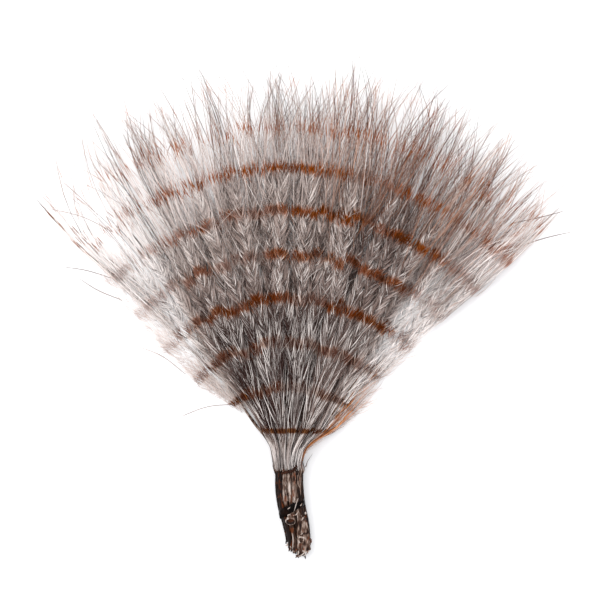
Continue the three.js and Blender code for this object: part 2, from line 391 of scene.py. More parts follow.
def tube(shape, rings, values, loop=False):
    """A skin over a row of rings, closed at its ends or joined into a loop."""
    count, sides = rings.shape[:2]
    places = rings.reshape(-1, 3)
    spans = count if loop else count - 1
    ring, side = np.meshgrid(np.arange(spans), np.arange(sides), indexing="ij")
    here, there = ring * sides, (ring + 1) % count * sides
    a, b = here + side, here + (side + 1) % sides
    c, d = there + side, there + (side + 1) % sides
    triangles = np.stack([a, c, b, b, c, d], axis=-1).reshape(-1, 3)
    flat = {}
    for name, value in values.items():
        flat[name] = np.broadcast_to(value, (count, sides)).reshape(-1)
    if not loop:
        ends = np.stack([rings[0].mean(axis=0), rings[-1].mean(axis=0)])
        first, last = count * sides, count * sides + 1
        corner = np.arange(sides)
        after = (corner + 1) % sides
        start_cap = np.stack([corner, after, np.full(sides, first)], axis=-1)
        end_cap = np.stack([after, corner, np.full(sides, 0)], axis=-1) + (count - 1) * sides
        end_cap[:, 2] = last
        triangles = np.concatenate([triangles, start_cap, end_cap])
        places = np.concatenate([places, ends])
        flat = {name: np.append(value, [value[0], value[-1]]) for name, value in flat.items()}
    shape.add(places, triangles, flat)


class Nodes:
    """Short ways to add the nodes of one material."""

    def __init__(self, name):
        self.material = bpy.data.materials.new(name)
        self.material.use_nodes = True
        self.tree = self.material.node_tree
        self.shader = self.tree.nodes["Principled BSDF"]

    def set(self, node, socket, value):
        if isinstance(value, bpy.types.NodeSocket):
            self.tree.links.new(value, node.inputs[socket])
        elif value is not None:
            node.inputs[socket].default_value = value

    def value(self, name):
        node = self.tree.nodes.new("ShaderNodeAttribute")
        node.attribute_name = name
        return node.outputs["Fac"]

    def math(self, operation, a, b=None, c=None):
        node = self.tree.nodes.new("ShaderNodeMath")
        node.operation = operation
        for socket, value in enumerate((a, b, c)):
            self.set(node, socket, value)
        return node.outputs[0]

    def between(self, value, low, high, out_low=0.0, out_high=1.0):
        node = self.tree.nodes.new("ShaderNodeMapRange")
        node.interpolation_type = "SMOOTHSTEP"
        for socket, item in enumerate((value, low, high, out_low, out_high)):
            self.set(node, socket, item)
        return node.outputs["Result"]

    def ramp(self, value, stops):
        node = self.tree.nodes.new("ShaderNodeValToRGB")
        elements = node.color_ramp.elements
        while len(elements) < len(stops):
            elements.new(0.5)
        for element, (place, colour) in zip(elements, stops):
            element.position = place
            element.color = (*colour, 1)
        self.set(node, 0, value)
        return node.outputs["Color"]

    def mix(self, share, a, b):
        node = self.tree.nodes.new("ShaderNodeMix")
        node.data_type = "RGBA"
        self.set(node, 0, share)
        for socket, item in ((6, a), (7, b)):
            if isinstance(item, tuple):
                item = (*item, 1)
            self.set(node, socket, item)
        return node.outputs[2]

    def noise(self, scale, detail=2.0, stretch=(1, 1, 1)):
        coordinates = self.tree.nodes.new("ShaderNodeTexCoord")
        mapping = self.tree.nodes.new("ShaderNodeMapping")
        mapping.inputs["Scale"].default_value = stretch
        self.tree.links.new(coordinates.outputs["Object"], mapping.inputs["Vector"])
        node = self.tree.nodes.new("ShaderNodeTexNoise")
        node.inputs["Scale"].default_value = scale
        node.inputs["Detail"].default_value = detail
        self.tree.links.new(mapping.outputs["Vector"], node.inputs["Vector"])
        return node.outputs["Fac"]

    def bump(self, height, strength, distance):
        node = self.tree.nodes.new("ShaderNodeBump")
        node.inputs["Strength"].default_value = strength
        node.inputs["Distance"].default_value = distance
        self.tree.links.new(height, node.inputs["Height"])
        return node.outputs["Normal"]

    def finish(self, colour, roughness, **constants):
        self.set(self.shader, "Base Color", colour)
        self.set(self.shader, "Roughness", roughness)
        for socket, value in constants.items():
            self.set(self.shader, socket.replace("_", " "), value)
        return self.material


def srgb(red, green, blue):
    """A colour given as it looks on a screen, 0 to 255, in the light values that nodes use."""
    return tuple(
        (c / 255 / 12.92) if c <= 10 else (((c / 255) + 0.055) / 1.055) ** 2.4
        for c in (red, green, blue)
    )


def grey(value):
    """A plain share, as a colour for a ramp."""
    return (value, value, value)


def plain_down(n, pale, tone):
    """The down's colour: dark to pale outwards, partly its own grey base and partly painted shade of
    the dense heart; each strand its own tone; darker at its root, which is painted shade.
    """
    # Partly painted shade: the dark end of this ramp is the fan's heart, partly the down's own grey
    # base and partly painted shade of its dense barbs.
    base = n.ramp(pale, (
        (0.0, srgb(66, 47, 43)),
        (0.3, srgb(130, 110, 103)),
        (0.6, srgb(176, 157, 149)),
        (0.85, srgb(214, 201, 196)),
        (1.0, srgb(240, 232, 229)),
    ))
    lighter = n.mix(n.between(tone, 0.0, 1.0, 0.0, 0.85), base, srgb(240, 231, 226))
    toned = n.mix(n.between(tone, 0.0, -1.0, 0.0, 0.9), lighter, srgb(34, 19, 16))
    # Painted shade: each strand is darker at its root, where the strands above overlap it.
    return n.mix(n.between(n.value("along"), 0.0, 0.4, 0.4, 0.0), toned, srgb(42, 27, 23))


def rust_colour(n, pale, tone, reach, share, bar):
    """The rust of the bars: dark near the neck, redder outwards, with a pale halo and dark patches."""
    rust = n.ramp(share, (
        (0.0, srgb(52, 18, 0)),
        (0.3, srgb(80, 29, 0)),
        (0.6, srgb(126, 57, 0)),
        (0.75, srgb(138, 65, 0)),
        (0.9, srgb(146, 72, 8)),
    ))
    outward = n.between(reach, 16.0, 55.0, 0.2, 0.65)
    halo = n.math("MULTIPLY", n.between(bar, 0.0, 1.0, 1.0, 0.0),
                  n.math("ADD", outward, n.between(pale, 0.3, 0.8, 0.0, 0.3)))
    rust = n.mix(halo, rust, srgb(210, 130, 66))
    rust = n.mix(n.between(n.noise(190.0, 1.0), 0.5, 0.62, 0.0, 0.5), rust, srgb(56, 20, 0))
    rust = n.mix(n.between(tone, 0.0, -1.0, 0.0, 0.5), rust, srgb(34, 13, 3))
    return n.mix(n.between(tone, 0.2, 1.0, 0.0, 0.35), rust, srgb(196, 136, 84))


def down_material():
    """Soft down with rust bars, narrower and fainter near the neck, and some gingery strands."""
    n = Nodes("barred_down")
    pale, tone, reach = n.value("pale"), n.value("tone"), n.value("reach")
    share = n.math("DIVIDE", reach, FARTHEST_REACH)
    gap = n.math("PINGPONG", reach, BAR_PITCH / 2)
    gap = n.math("DIVIDE", gap, n.between(reach, 14.0, 30.0, 0.55, 1.0))
    bar = n.between(gap, BAR_HALF_WIDTH * 1.55, BAR_HALF_WIDTH * 0.65)
    patches = n.between(n.noise(60.0, 1.0), 0.36, 0.5, 0.5, 1.0)
    force = n.ramp(share, (
        (0.0, grey(1.0)), (0.1, grey(1.0)), (0.2, grey(0.8)), (0.3, grey(0.7)), (0.4, grey(1.0)),
        (0.5, grey(0.9)), (0.6, grey(1.0)), (0.8, grey(1.0)), (0.95, grey(0.95)),
    ))
    strength = n.math("MULTIPLY", n.math("MULTIPLY", bar, patches), force)
    strength = n.math("MULTIPLY", strength, n.value("barred"))
    barred = n.mix(strength, plain_down(n, pale, tone), rust_colour(n, pale, tone, reach, share, bar))
    gingery = n.mix(n.between(tone, -1.0, 1.0), srgb(104, 44, 6), srgb(208, 132, 72))
    return n.finish(n.mix(n.value("rusty"), barred, gingery), 0.7, Specular_IOR_Level=0.06)


def loose_by(angle):
    """How much sooner the down turns into loose wisps towards the two sides."""
    return 16 * smoothstep(-angle, 8, 30) + 9 * smoothstep(angle, 16, 38)


def fullness(distance, angle):
    """The share of its short barbs that a place keeps: fewer at the rim and at the fan's sides."""
    outward = np.interp(distance + loose_by(angle), (0, 79, 87, 95), (1, 1, 0.5, 0))
    lost = np.interp(distance, (12, 50, 80), (0.98, 0.9, 0.5))
    inner = 1 - lost * smoothstep(np.abs(angle + 1), 27, 37)
    return outward * inner * (1 - 0.7 * smoothstep(np.abs(angle), 43, 46))


def paleness(lines):
    """From 0 in the dark heart of the fan to 1 at its rim and its sides; the heart's darkness is partly
    the down's own grey base and partly painted shade of its dense barbs.
    """
    distance, angle = polar(lines)
    outward = np.interp(distance, PALE_DISTANCES, PALENESSES)
    side = smoothstep(np.abs(angle), 27, 38) * np.interp(distance, (6, 12, 60, 100), (0, 1, 0.8, 0.2))
    far = smoothstep(distance, 52, 82) * (1 - 0.8 * smoothstep(distance, 100, 114))
    left = 0.2 * smoothstep(-angle, 8, 28)
    right = 0.3 * smoothstep(angle, 8, 22) * (1 - smoothstep(angle, 36, 44))
    near_right = 0.2 * smoothstep(angle, 8, 20) * (1 - smoothstep(distance, 40, 56))
    return np.clip(outward + side + near_right + far * (left - right), 0, 1)


def bar_scatter(distance, angle):
    """How far the bars of single wisps stray from the even rings at the rim."""
    rim = smoothstep(distance + loose_by(angle), 98, 112)
    return (1.3 + 2.4 * smoothstep(np.abs(angle), 24, 36)) * rim


def add_down(shape, lines, widths, tone, rng, lock=None, barred=1.0, rusty=0.0, jitter=0.4,
             taper=TAPER, loose=False, wisp_shift=None):
    """Ribbons of down with the values that colour them; loose ones may stray past the fan's sides."""
    count = len(lines)
    if not loose:
        lines = tuck(lines)
    distance, angle = polar(lines)
    aside = np.abs(np.radians(angle - angle[:, :1])) * distance * smoothstep(distance[:, :1], 8, 14)
    level = distance * (1 - (1 - np.cos(np.radians(angle))) * (1 - smoothstep(distance, 14, 30)))
    shift = 0.0 if lock is None else (variation(lock.key, 7) - 0.5) * 2.4
    own_shift = rng.normal(0, 1, count)
    far_shift = own_shift if wisp_shift is None else wisp_shift
    ragged = (own_shift[:, None] * jitter * np.interp(distance, (13, 40), (0.4, 1))
              + far_shift[:, None] * bar_scatter(distance, angle))
    tilts = rng.normal(0, 0.6, count)
    has_bars = rng.uniform(0, 1, (count, 1)) < BARRED_SHARE
    ribbons(shape, lines, widths, tilts, {
        "reach": level + shift + ragged + 0.35 * aside,
        "tone": np.clip(tone, -1, 1),
        "pale": paleness(lines),
        "barred": barred * has_bars * bar_share(distance, angle),
        "rusty": rusty + np.zeros(count),
    }, taper)


def bar_share(distance, angle):
    """How strongly the bars show: at the fan's sides more so near the neck, and less farther out."""
    side = smoothstep(-angle, 20, 34) + smoothstep(angle, 32, 42)
    return 1 + side * np.interp(distance, (36, 48, 64, 84, 100), (0.4, -0.1, -0.45, -0.45, 0.0))


def barbules(shape, lock, rng):
    """The herringbone: short barbs that fork off both sides of a lock, in small tufts."""
    first, last = 8.0, lock.reach - 6.0
    distance = rng.uniform(first, last, int((last - first) * BARBULES_PER_MM))
    _, angle = polar(lock.point(distance))
    kept = rng.uniform(0, 1, len(distance)) < fullness(distance, angle)
    distance, angle = distance[kept], angle[kept]
    count = len(distance)
    hand = rng.choice((-1.0, 1.0), count)
    tuft = (distance / 2.1 + rng.uniform(0, 1)).astype(int) * 2 + (hand > 0)
    tufts = int(tuft.max()) + 1
    tuft_spread = rng.normal(1, 0.2, tufts)[tuft]
    tuft_length = rng.uniform(0.7, 1.3, tufts)[tuft]
    tuft_lift = rng.normal(0.14, 0.12, tufts)[tuft]
    # Painted shade: tufts of locks that sink lower are painted darker, as if in the shade of the locks
    # above.
    tuft_tone = rng.normal(-0.02, 0.24, tufts)[tuft] - 0.3 * lock.sink
    forks = np.interp(distance, SPREAD_DISTANCES, SPREADS) * (1 + 0.2 * rng.normal(0, 1, count))
    at_low_side = smoothstep(np.abs(angle), 29, 36) * (1 - smoothstep(distance, 22, 34))
    held_in = 1 - 0.75 * (hand * angle > 0) * at_low_side
    spread = np.radians(forks) * tuft_spread * hand * held_in
    room = np.maximum(lock.reach - distance, 1.5)
    length = np.interp(distance, LENGTH_DISTANCES, LENGTHS) * tuft_length
    length = np.minimum(length * rng.uniform(0.6, 1.25, count), room)
    root = lock.point(distance)
    root[:, :2] += rng.normal(0, 0.35, (count, 2))
    root[:, 2] += 0.3 * rng.normal(0, 1, count)
    lift = (tuft_lift + 0.14 * rng.normal(0, 1, count)) * np.interp(distance, (24, 54), (0.45, 1))
    t = np.linspace(0, 1, 4)[None, :]
    direction = lock.azimuth(distance)[:, None] + spread[:, None] * (1.1 - 0.5 * t)
    reach = length[:, None] * t
    lines = root[:, None, :] + np.stack([
        np.sin(direction) * reach,
        np.cos(direction) * reach,
        np.sin(lift)[:, None] * reach * (1 - 0.6 * t),
    ], axis=-1)
    glint = rng.uniform(0, 1, count) < np.interp(distance, (30, 70), (0.16, 0.06))
    width = np.interp(distance, (10, 70, 95), (0.19, 0.19, 0.16)) * rng.uniform(0.7, 1.3, count)
    tone = tuft_tone + rng.normal(0, 0.46, count) + 0.7 * glint
    add_down(shape, lines, width, tone, rng, lock)


def flowing(lock, starts, ends, from_aside, to_aside, bow, heights, steps):
    """Long lines that follow a lock, from one angle beside it to another."""
    t = np.linspace(0, 1, steps)[None, :]
    distance = starts[:, None] + (ends - starts)[:, None] * t
    aside = from_aside[:, None] + (to_aside - from_aside)[:, None] * t**1.4
    aside = aside + bow[:, None] * np.sin(np.pi * t)
    lines = lock.point(distance, aside)
    lines[..., 2] += heights[:, None]
    return lines


def rim_wisps(shape, lock, rng):
    """The loose ends at the rim: small wisps of long barbs that close to a point."""
    wisps = int(WISPS_PER_LOCK * (1.05 + 0.01 * lock.feather.angle))
    direction = lock.feather.angle + lock.turn
    outermost = smoothstep(abs(direction), 36, 46)
    barbs = BARBS_PER_OUTERMOST_WISP if outermost > 0.3 else BARBS_PER_WISP
    count = wisps * barbs
    wisp = np.repeat(np.arange(wisps), barbs)
    wisp_tip = 0.82 + 0.23 * rng.uniform(0, 1, wisps) ** 0.8
    tip = wisp_tip[wisp] * (1 - 0.1 * rng.uniform(0, 1, count) ** 2)
    longer = smoothstep(abs(direction), 8, 16)
    ends = np.minimum(tip * (1 + 0.03 * longer - 0.05 * outermost), 1.05) * lock.longest
    starts = np.minimum(rng.uniform(70, 92, count) - loose_by(direction), ends - 14)
    place = np.linspace(-4.5, 4.5, wisps)[wisp]
    from_aside = place + rng.normal(0, 1.2, count)
    to_aside = 0.7 * place + rng.normal(0, 2.1, wisps)[wisp] + rng.normal(0, 0.3, count)
    bow = rng.normal(0, 1.8, wisps)[wisp] + rng.normal(0, 0.4, count)
    lines = flowing(lock, starts, ends, from_aside, to_aside, bow, rng.normal(0.1, 0.6, count), 11)
    tone = rng.normal(0, 0.2, wisps)[wisp] + rng.normal(0, 0.35, count)
    tone -= 0.5 * (rng.uniform(0, 1, count) < 0.15)
    width = rng.uniform(0.11, 0.19, count) * (1 + 0.3 * smoothstep(-lock.feather.angle, 10, 30))
    stain = 0.3 * (lock.feather.index == STAINED_FEATHER)
    rusty = stain + 0.4 * smoothstep(direction, 4, 14) * (rng.uniform(0, 1, wisps) < 0.45)[wisp]
    darker = stain + 0.14 * smoothstep(direction, 8, 16)
    add_down(shape, lines, width, tone - darker, rng, lock, rusty=rusty, taper=WISP_TAPER,
             wisp_shift=rng.normal(0, 1, wisps)[wisp])


def ridge_barbs(shape, lock, rng):
    """Long light barbs that lie along the top of a lock."""
    count = RIDGE_BARBS_PER_LOCK
    starts = rng.uniform(14, 76, count)
    ends = np.minimum(starts + rng.uniform(8, 20, count), lock.reach)
    lines = flowing(lock, starts, ends, rng.normal(0, 1.5, count), rng.normal(0, 5, count),
                    rng.normal(0, 1.2, count), rng.uniform(0.3, 1.0, count), 10)
    add_down(shape, lines, rng.uniform(0.1, 0.16, count), rng.normal(0.5, 0.25, count), rng, lock,
             barred=0.8)


def neck_barbs(shape, feather, rng):
    """Barbs that stream out of the neck over the quills into the dark heart of the fan."""
    count = int(NECK_BARBS_PER_FEATHER * (1 - 0.6 * smoothstep(abs(feather.angle), 26, 34)))
    low = rng.uniform(0, 1, count) < 0.45
    starts = np.where(low, rng.uniform(0.8, 3, count), rng.uniform(3, 22, count))
    ends = starts + rng.uniform(8, 20, count)
    t = np.linspace(0, 1, 8)[None, :]
    distance = starts[:, None] + (ends - starts)[:, None] * t
    outer = abs(feather.angle) > 28
    inward = -5.5 * np.sign(feather.angle) * outer
    aside = rng.normal(inward, 5 - 2.5 * outer, count)[:, None]
    lines = feather.point(distance, aside * smoothstep(distance, 4, 30))
    around = rng.uniform(0.3, np.pi - 0.3, count)[:, None]
    thick = 0.75 + 0.25 * rng.uniform(0, 1, count)[:, None]
    lines[..., 0] += np.cos(around) * thick
    lines[..., 2] += np.sin(around) * thick
    lines[..., 0] += rng.normal(0, 0.25, count)[:, None] * np.sin(t * rng.uniform(2, 6, count)[:, None])
    tone = rng.normal(-0.15, 1.2, count) - 0.6 * (feather.index == 0)
    add_down(shape, lines, rng.uniform(0.14, 0.27, count), tone, rng, jitter=0.2)


def side_fluff(shape, feather, side, rng):
    """Fine pale strands that stand off the lower edge of the fan, on one side."""
    count = FLUFF_STRANDS_PER_SIDE
    first, widest, rustiest = (23, FLUFF_LEFT, 0.16) if side < 0 else (8, FLUFF_RIGHT, 0.45)
    starts = first + (84 - first) * rng.uniform(0, 1, count) ** 1.1
    tuft = (starts / 3.2).astype(int)
    edge = np.interp(starts, SIDE_DISTANCES, widest) - 1.5
    root_angle = side * (edge - rng.uniform(0, 7, count))
    root = feather.point(starts, root_angle - feather.angle)
    root[:, 2] = rng.uniform(0.3, 2.2, count)
    tuft_length, tuft_turn = rng.uniform(0.4, 1.3, 40)[tuft], rng.normal(0, 9, 40)[tuft]
    away = np.radians(root_angle + side * rng.uniform(2, 40, count) + tuft_turn)[:, None]
    length = rng.uniform(3, 10, count) * tuft_length * np.interp(starts, (8, 30, 75), (0.6, 1, 1))
    t = np.linspace(0, 1, 6)[None, :]
    direction = away - 0.35 * side * t + rng.normal(0, 0.12, (count, 1)) * np.sin(t * 5)
    reach = length[:, None] * t
    lines = root[:, None, :] + np.stack([
        np.sin(direction) * reach,
        np.cos(direction) * reach,
        -0.1 * reach * t * rng.uniform(-0.5, 1, (count, 1)),
    ], axis=-1)
    add_down(shape, lines, rng.uniform(0.08, 0.15, count), rng.normal(0.25, 0.35, count), rng,
             barred=0.9, rusty=rustiest * rng.uniform(0, 1, count), loose=True)


def ginger_barbs(shape, feather, rng):
    """Rust-coloured barbs that run up the right edge of the neck."""
    lock = Lock(feather, len(LOCK_TURNS) // 2)
    count = GINGER_BARBS
    starts = rng.uniform(0.8, 12, count)
    ends = starts + rng.uniform(12, 34, count)
    lines = flowing(lock, starts, ends, rng.normal(1.5, 2, count), rng.normal(1, 4, count),
                    rng.normal(1, 1.5, count), rng.uniform(0.3, 1.4, count), 10)
    add_down(shape, lines, rng.uniform(0.16, 0.34, count), rng.normal(0, 0.8, count), rng, barred=0.5,
             rusty=rng.choice((0.1, 0.95), count), loose=True)


def stray_hairs(shape, hairs, rng):
    """Single long hairs that stand away from the bunch."""
    count = len(hairs)
    lines = np.stack([placed_line(hair, HAIR_HEIGHT, 12) for hair in hairs])
    add_down(shape, lines, rng.uniform(0.2, 0.27, count), rng.uniform(-0.9, -0.3, count), rng,
             rusty=0.3, taper=WISP_TAPER, loose=True)


def horn_material():
    """Dry quills: pale to dark brown, streaked and flaking along their length."""
    n = Nodes("dry_horn")
    streak = n.noise(170.0, 4.0, (7, 1, 7))
    speck = n.noise(650.0, 3.0, (3, 1, 3))
    level = n.math("MULTIPLY_ADD", n.value("tone"), 0.5, 0.5)
    level = n.math("ADD", level, n.math("MULTIPLY_ADD", streak, 1.8, -0.95))
    level = n.math("ADD", level, n.math("MULTIPLY_ADD", speck, 1.2, -0.6))
    base = n.ramp(level, (
        (0.0, srgb(22, 10, 6)),
        (0.3, srgb(62, 40, 29)),
        (0.55, srgb(122, 102, 91)),
        (0.8, srgb(168, 153, 144)),
        (1.0, srgb(190, 178, 171)),
    ))
    spots = n.between(n.noise(420.0, 2.0, (2, 1, 2)), 0.6, 0.7, 0.0, 0.6)
    stained = n.mix(spots, base, srgb(104, 50, 16))
    coloured = n.mix(n.value("rusty"), stained, srgb(118, 54, 12))
    n.set(n.shader, "Normal", n.bump(n.math("ADD", streak, speck), 0.6, 0.0002))
    rough = n.between(speck, 0.3, 0.7, 0.35, 0.7)
    return n.finish(coloured, rough, Specular_IOR_Level=0.12)


def ripple(around, along, rng, strength):
    """Uneven ridges that run along a surface and slowly round it."""
    total = np.zeros(np.broadcast(around, along).shape)
    for fold, share in ((1, 0.3), (2, 0.35), (3, 0.3), (5, 0.25), (8, 0.16)):
        drift, start, beat = rng.uniform(-0.8, 0.8), rng.uniform(0, 2 * np.pi), rng.uniform(0.3, 1.6)
        wave = np.sin(fold * around + drift * along + start)
        total = total + share * wave * (0.7 + 0.5 * np.sin(beat * along + 2 * start))
    return strength * total


def stub_place(feather, y):
    """The middle of a quill in the stub, which narrows towards its cut end."""
    return stub_x(y) + feather.across * (1 - STUB_NARROWING * smoothstep(-y, 1, 11))


def flap_span(y):
    """The middle and the half-width of the crushed quill, which reaches the stub's right edge."""
    right = stub_x(y) + (2.5 * QUILL_PITCH + QUILL_RADIUS) * (1 - STUB_NARROWING)
    return (right + FLAP_LEFT) / 2, (right - FLAP_LEFT) / 2


def quill_profile(feather, y):
    """A quill's middle, height, half-width, half-height and lean at each y of the stub."""
    round_one = (stub_place(feather, y), feather.quill_height, QUILL_RADIUS, QUILL_RADIUS, 0.0)
    if feather.is_top(CRUSHED_QUILL):
        change = smoothstep(-y, 0.3, 4)
        middle, half_width = flap_span(y)
        other = (middle, feather.quill_height, half_width, FLAP_HALF_HEIGHT, 0.0)
    elif feather.is_top(SHORT_QUILL):
        change = smoothstep(-y, 0.2, 3.2)
        other = (MOUTH_X, MOUTH_HEIGHT, MOUTH_HALF_WIDTH, MOUTH_HALF_HEIGHT, MOUTH_LEAN)
    else:
        change, other = 0 * y, round_one
    return [was + (becomes - was) * change for was, becomes in zip(round_one, other)]


def flap_relief(x, y):
    """Heights and shades of the crushed quill: wrinkles, a crack at its right, a small whorl. The
    wrinkles are painted lighter on their crests and the crack darker: painted light and shade that
    follow the relief.
    """
    wrinkle = np.sin(2.3 * y + 1.4 * x + 1.2 * np.sin(0.8 * y)) + 0.6 * np.sin(5.1 * x - 1.3 * y)
    below_crack = y + 7.3 - 0.3 * (x - 3) - 0.15 * np.sin(3 * x)
    crack = np.exp(-(below_crack / 0.17) ** 2) * smoothstep(x, 1.8, 2.8)
    away, turn = np.hypot(x - WHORL_X, y - WHORL_Y), np.arctan2(y - WHORL_Y, x - WHORL_X)
    rim = np.exp(-((away - WHORL_RADIUS) / 0.25) ** 2)
    dome = np.exp(-((away / WHORL_RADIUS) ** 2))
    spots = np.exp(-((away - 0.45) / 0.25) ** 2) * np.maximum(np.sin(3 * turn + 0.5), 0)
    height = 0.09 * wrinkle - 0.3 * crack + 0.22 * rim + 0.12 * dome - 0.2 * spots
    # Painted light and shade: wrinkle crests lighter, the crack darker; the whorl's pale ring and dark
    # spots are its own marks.
    return height, 0.2 * wrinkle - 0.9 * crack + 0.55 * rim + 0.4 * dome - 1.2 * spots


def quill_skin(shape, feather, tone, rng):
    """One hollow quill from its ragged cut end to the shaft that is lost in the down."""
    end = feather.cut_end()
    short, crushed = feather.is_top(SHORT_QUILL), feather.is_top(CRUSHED_QUILL)
    sides, stations = (FLAP_SIDES, 140) if crushed else (QUILL_SIDES, 60)
    around = np.linspace(0, 2 * np.pi, sides, endpoint=False)[None, :]
    outside = end + (QUILL_TOP_Y - end) * np.linspace(0.004, 1, stations) ** 1.25
    y = np.concatenate([end + HOLLOW[:, 0], outside])[:, None]
    part = np.concatenate([HOLLOW[:, 1], np.ones(stations)])[:, None]
    x, z, wide, high, lean = quill_profile(feather, y)
    bulge = 1 + ripple(around, y, rng, 0.06 if crushed else 0.12)
    upward = np.sin(around) * high * part * bulge
    across = x + np.cos(around) * wide * part * bulge
    torn = ripple(around * 2, 0 * y, rng, 0.1 if short else 0.45) * np.exp(-(y - end) / 0.8)
    lengthwise = y + torn + lean * upward
    if crushed:
        lengthwise = lengthwise + FLAP_SLANT * (across - WHORL_X) * np.exp(-(y - end) / 2)
    rim = len(HOLLOW) - 1
    shades = tone + np.zeros_like(upward)
    # Painted shade: the inside of each hollow cut end is painted dark, and the short quill's open mouth
    # darkest, over its brown inner wall.
    shades[:rim] = -1.3
    if short:
        shades[:rim], shades[rim:rim + 4] = -3.0, 0.35
    if tone > 0:
        shades[rim + 4:] -= (0.45 if crushed else 0.75) * smoothstep(-y[rim + 4:], -3, 1)
    height = z + upward
    if crushed:
        relief, shade = flap_relief(across, lengthwise)
        top = smoothstep(-y, 0.3, 4) * smoothstep(np.sin(around), 0.0, 0.4)
        height = height + relief * top
        shades = shades + shade * top
    rusty = 0.6 * (part < 0.7) * short + 0 * upward
    if feather.is_top(0):
        streak = np.exp(-((around - 1.2) / 0.2) ** 2)
        rusty = 0.6 * streak * smoothstep(-y, -9, -5) * smoothstep(y, -5, -3)
    rings = np.stack([across, lengthwise, np.maximum(height, 0.02)], axis=-1)
    shaft = shaft_rings(feather, around)
    shades = np.concatenate([shades, np.full(shaft.shape[:2], SHAFT_TONE)])
    rusty = np.concatenate([rusty, np.zeros(shaft.shape[:2])])
    tube(shape, np.concatenate([rings, shaft]), {"tone": shades, "rusty": rusty, "along": 0.5})


def shaft_rings(feather, around):
    """The rings of the shaft, thinner and thinner, that lead on from a quill."""
    distance = np.linspace(SHAFT_STARTS, SHAFT_ENDS, 14)
    middle = feather.point(distance)[:, None, :]
    heading = math.radians(feather.angle)
    side, up = np.array([math.cos(heading), -math.sin(heading), 0]), np.array([0, 0, 1])
    thin = (QUILL_RADIUS * (1 - distance / SHAFT_VANISHES))[:, None, None]
    return middle + thin * (np.cos(around)[..., None] * side + np.sin(around)[..., None] * up)


def splinters(shape, feather, rng):
    """Torn fibres that stand out of a quill's cut end."""
    crushed = feather.is_top(CRUSHED_QUILL)
    count = SPLINTERS_OF_CRUSHED_QUILL if crushed else SPLINTERS_PER_QUILL
    end = feather.cut_end()
    middle, width, height = stub_place(feather, end), QUILL_RADIUS, QUILL_RADIUS
    if crushed:
        (middle, width), height = flap_span(end), FLAP_HALF_HEIGHT
    around = rng.uniform(0, 2 * np.pi, count)
    x = middle + np.cos(around) * width * 0.9
    slant = FLAP_SLANT * (x - WHORL_X) * crushed
    root = np.stack([
        x,
        end + slant + rng.uniform(0.5, 1.8, count),
        feather.quill_height + np.sin(around) * height * 1.05,
    ], axis=-1)
    t = np.linspace(0, 1, 5)[None, :]
    length = rng.uniform(0.7, 1.7, count)[:, None]
    aim = rng.normal(0, 0.22, (count, 1)) + rng.normal(0, 0.35, (count, 1)) * t
    lines = root[:, None, :] + np.stack([
        np.sin(aim) * length * t,
        -np.cos(aim) * length * t,
        rng.normal(0.05, 0.2, (count, 1)) * length * t,
    ], axis=-1)
    ribbons(shape, lines, rng.uniform(0.25, 0.7, count), rng.normal(0, 0.5, count), {
        "tone": np.where(rng.uniform(0, 1, count) < 0.22, 0.8, rng.uniform(-1, -0.5, count)),
        "rusty": 0.7 * (rng.uniform(0, 1, count) < 0.3),
    }, SPLINTER_TAPER)


def flakes(shape, feather, tone, rng):
    """Long scales of the dry sheath that lie on a quill and lift a little at their ends."""
    count = FLAKES_PER_QUILL
    starts = rng.uniform(3.5, 12.8, count)
    length = rng.uniform(2.0, 6.0, count)
    t = np.linspace(0, 1, 8)[None, :]
    y = np.maximum(starts[:, None] - length[:, None] * t, 2.6)
    around = rng.uniform(0.7, np.pi - 0.7, count)[:, None] + rng.normal(0, 0.25, (count, 1)) * t
    radius = QUILL_RADIUS + 0.08 + 0.14 * t**2 * rng.uniform(0, 1, (count, 1))
    lines = np.stack([
        stub_x(y) + feather.across + np.cos(around) * radius,
        y,
        feather.quill_height + np.sin(around) * radius,
    ], axis=-1)
    ribbons(shape, lines, rng.uniform(0.2, 0.75, count), rng.normal(0, 0.25, count), {
        "tone": np.clip(tone + rng.normal(0, 0.6, count), -1, 0.4),
        "rusty": 0.5 * (rng.uniform(0, 1, count) < 0.12),
    }, SPLINTER_TAPER)


def bead(shape, centre, size, tone, rusty, rng):
    """A small uneven lump."""
    rise = np.linspace(-1, 1, 7)[:, None]
    around = np.linspace(0, 2 * np.pi, 10, endpoint=False)[None, :]
    reach = np.sqrt(np.maximum(1 - rise**2, 0.03)) * (1 + ripple(around, rise * 3, rng, 0.25))
    rings = np.stack([
        centre[0] + size[0] * reach * np.cos(around),
        centre[1] + size[1] * reach * np.sin(around),
        centre[2] + size[2] * rise + 0 * around,
    ], axis=-1)
    tube(shape, rings, {"tone": tone, "rusty": rusty, "along": 0.5})


def whorl(shape):
    """The small raised ring on the crushed quill."""
    turn = np.linspace(0, 2 * np.pi, 28, endpoint=False)[:, None]
    section = np.linspace(0, 2 * np.pi, 8, endpoint=False)[None, :]
    reach = WHORL_RADIUS * (1 + 0.08 * np.sin(3 * turn)) + 0.2 * np.cos(section)
    rings = np.stack([
        WHORL_X + 1.15 * reach * np.cos(turn),
        WHORL_Y + 0.9 * reach * np.sin(turn),
        WHORL_HEIGHT + 0.2 * np.sin(section) + 0 * turn,
    ], axis=-1)
    tone = 0.55 + 0.5 * np.sin(2 * turn)
    tube(shape, rings, {"tone": tone, "rusty": 0.0, "along": 0.5}, loop=True)


def placed_line(pixels, height, steps=9):
    """A curved line through points of the photograph, at one height over the table."""
    pixels = np.array(pixels, float)
    at = np.linspace(0, len(pixels) - 1, steps)
    places = np.arange(len(pixels))
    x, y = (smooth_curve(at, places, pixels[:, axis]) for axis in (0, 1))
    return np.append(from_photo(np.array([x, y])).T, np.full((steps, 1), height), axis=1)


